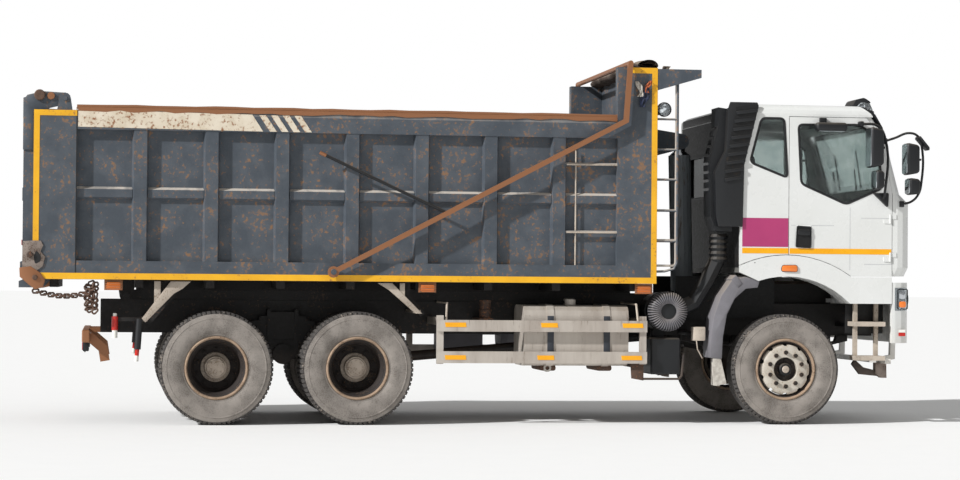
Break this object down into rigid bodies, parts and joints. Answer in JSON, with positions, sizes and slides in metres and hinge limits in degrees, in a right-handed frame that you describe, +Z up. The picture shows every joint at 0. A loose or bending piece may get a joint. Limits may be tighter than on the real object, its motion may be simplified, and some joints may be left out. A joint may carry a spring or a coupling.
{
  "type": "three-axle dump truck",
  "caption": "Dump truck with a ribbed tipping bed, hinged tailgate, front hoist, tilting cab with hinged doors, steered front wheels and twin rear wheels.",
  "frame": {"origin": "middle of the overall box at the ground", "axes": "+X to the truck's front, +Y to its left, +Z up"},
  "size_m": [8.9131, 2.9806, 3.56],
  "materials": {
    "chassis_black": "matt, dusty",
    "rusted_steel": "rusted",
    "bed_blue": "worn satin with rust spots",
    "cab_white": "gloss",
    "black_plastic": "matt",
    "grey_plastic": "matt",
    "tyre_rubber": "dusty",
    "dull_aluminium": "dull",
    "hoist_chrome": "ground",
    "glass": "clear",
    "seat_cloth": "woven"
  },
  "bodies": {
    "chassis": {"air_cleaner_right": "black_plastic", "axle_middle": "chassis_black", "axle_rear": "chassis_black", "bogie_springs": "chassis_black", "bumper": "cab_white", "engine_driveline": "chassis_black", "fender_left": "cab_white", "fender_right": "cab_white", "frame": "chassis_black", "front_axle": "chassis_black", "front_mudguard_left": "grey_plastic", "front_mudguard_right": "grey_plastic", "fuel_tank_right": "dull_aluminium", "headlamp_left": "glass", "headlamp_right": "glass", "rear_bumper": "rusted_steel", "side_guard_left": "dull_aluminium", "side_guard_right": "dull_aluminium", "silencer_battery_left": "grey_plastic", "steps_left": "dull_aluminium", "steps_right": "dull_aluminium", "subframe": "chassis_black"},
    "bed": {"bed_floor": "bed_blue", "bed_headboard": "bed_blue", "bed_side_left": "bed_blue", "bed_side_right": "bed_blue"},
    "gate": {"tailgate": "bed_blue"},
    "bow": {"tarp_bow": "rusted_steel"},
    "barrel": {"hoist_barrel": "hoist_chrome"},
    "first_stage": {"hoist_stage_1": "hoist_chrome"},
    "second_stage": {"hoist_stage_2": "hoist_chrome"},
    "third_stage": {"hoist_stage_3": "hoist_chrome"},
    "rod": {"hoist_rod": "hoist_chrome"},
    "cab": {"air_intake_right": "black_plastic", "cab_floor": "chassis_black", "cab_front": "cab_white", "cab_rear": "cab_white", "cab_roof": "cab_white", "cab_side_left": "cab_white", "cab_side_right": "cab_white", "corner_mirror_right": "black_plastic", "dashboard": "black_plastic", "seats": "seat_cloth", "sun_visor": "black_plastic", "windscreen": "glass"},
    "door_right": {"door_right": "cab_white", "door_glass_right": "glass", "mirror_right": "black_plastic", "kerb_mirror_right": "black_plastic"},
    "door_left": {"door_left": "cab_white", "door_glass_left": "glass", "mirror_left": "black_plastic"},
    "steer_left": {"knuckle_left": "chassis_black"},
    "front_spin_left": {"wheel_front_left": "tyre_rubber"},
    "middle_spin_left": {"wheels_middle_left": "tyre_rubber"},
    "rear_spin_left": {"wheels_rear_left": "tyre_rubber"},
    "steer_right": {"knuckle_right": "chassis_black"},
    "front_spin_right": {"wheel_front_right": "tyre_rubber"},
    "middle_spin_right": {"wheels_middle_right": "tyre_rubber"},
    "rear_spin_right": {"wheels_rear_right": "tyre_rubber"}
  },
  "joints": [
    {"name": "bed_tilt", "type": "hinge", "parent": "chassis", "child": "bed", "pos_m": [-3.4466, 0, 1.2225], "axis": [0, -1, 0], "range_deg": [0, 45]},
    {"name": "tailgate_swing", "type": "hinge", "parent": "bed", "child": "gate", "pos_m": [-4.0466, 0, 3.09], "axis": [0, 1, 0], "range_deg": [0, 60]},
    {"name": "tarp_bow_swing", "type": "hinge", "parent": "bed", "child": "bow", "pos_m": [-1.4966, 0, 1.47], "axis": [0, -1, 0], "range_deg": [0, 100]},
    {"name": "hoist_swing", "type": "hinge", "parent": "chassis", "child": "barrel", "pos_m": [2.2434, 0, 1.25], "axis": [0, -1, 0], "range_deg": [0, 28]},
    {"name": "hoist_slide_1", "type": "slide", "parent": "barrel", "child": "first_stage", "axis": [-0.025, 0, 0.9997], "range_m": [0, 1.07]},
    {"name": "hoist_slide_2", "type": "slide", "parent": "first_stage", "child": "second_stage", "axis": [-0.025, 0, 0.9997], "range_m": [0, 1.07]},
    {"name": "hoist_slide_3", "type": "slide", "parent": "second_stage", "child": "third_stage", "axis": [-0.025, 0, 0.9997], "range_m": [0, 1.07]},
    {"name": "hoist_slide_4", "type": "slide", "parent": "third_stage", "child": "rod", "axis": [-0.025, 0, 0.9997], "range_m": [0, 1.07]},
    {"name": "cab_tilt", "type": "hinge", "parent": "chassis", "child": "cab", "pos_m": [4.0934, 0, 1], "axis": [0, 1, 0], "range_deg": [0, 50]},
    {"name": "door_right_swing", "type": "hinge", "parent": "cab", "child": "door_right", "pos_m": [4.0614, -1.25, 2], "axis": [0, 0, 1], "range_deg": [0, 65]},
    {"name": "door_left_swing", "type": "hinge", "parent": "cab", "child": "door_left", "pos_m": [4.0614, 1.25, 2], "axis": [0, 0, -1], "range_deg": [0, 65]},
    {"name": "steer_left_turn", "type": "hinge", "parent": "chassis", "child": "steer_left", "pos_m": [3.0034, 0.92, 0.545], "axis": [0, 0, 1], "range_deg": [-35, 35]},
    {"name": "front_wheel_left_spin", "type": "hinge", "parent": "steer_left", "child": "front_spin_left", "pos_m": [3.0034, 1.09, 0.545], "axis": [0, 1, 0], "continuous": true},
    {"name": "middle_wheels_left_spin", "type": "hinge", "parent": "chassis", "child": "middle_spin_left", "pos_m": [-1.2466, 0.915, 0.545], "axis": [0, 1, 0], "continuous": true},
    {"name": "rear_wheels_left_spin", "type": "hinge", "parent": "chassis", "child": "rear_spin_left", "pos_m": [-2.5966, 0.915, 0.545], "axis": [0, 1, 0], "continuous": true},
    {"name": "steer_right_turn", "type": "hinge", "parent": "chassis", "child": "steer_right", "pos_m": [3.0034, -0.92, 0.545], "axis": [0, 0, 1], "range_deg": [-35, 35]},
    {"name": "front_wheel_right_spin", "type": "hinge", "parent": "steer_right", "child": "front_spin_right", "pos_m": [3.0034, -1.09, 0.545], "axis": [0, 1, 0], "continuous": true},
    {"name": "middle_wheels_right_spin", "type": "hinge", "parent": "chassis", "child": "middle_spin_right", "pos_m": [-1.2466, -0.915, 0.545], "axis": [0, 1, 0], "continuous": true},
    {"name": "rear_wheels_right_spin", "type": "hinge", "parent": "chassis", "child": "rear_spin_right", "pos_m": [-2.5966, -0.915, 0.545], "axis": [0, 1, 0], "continuous": true}
  ],
  "couplings": [
    {"joint": "hoist_swing", "follows": "bed_tilt", "ratio": 0.61423},
    {"joint": "hoist_slide_1", "follows": "bed_tilt", "m_per_rad": 1.3547},
    {"joint": "hoist_slide_2", "follows": "bed_tilt", "m_per_rad": 1.3547},
    {"joint": "hoist_slide_3", "follows": "bed_tilt", "m_per_rad": 1.3547},
    {"joint": "hoist_slide_4", "follows": "bed_tilt", "m_per_rad": 1.3547},
    {"joint": "steer_right_turn", "follows": "steer_left_turn", "ratio": 1}
  ]
}
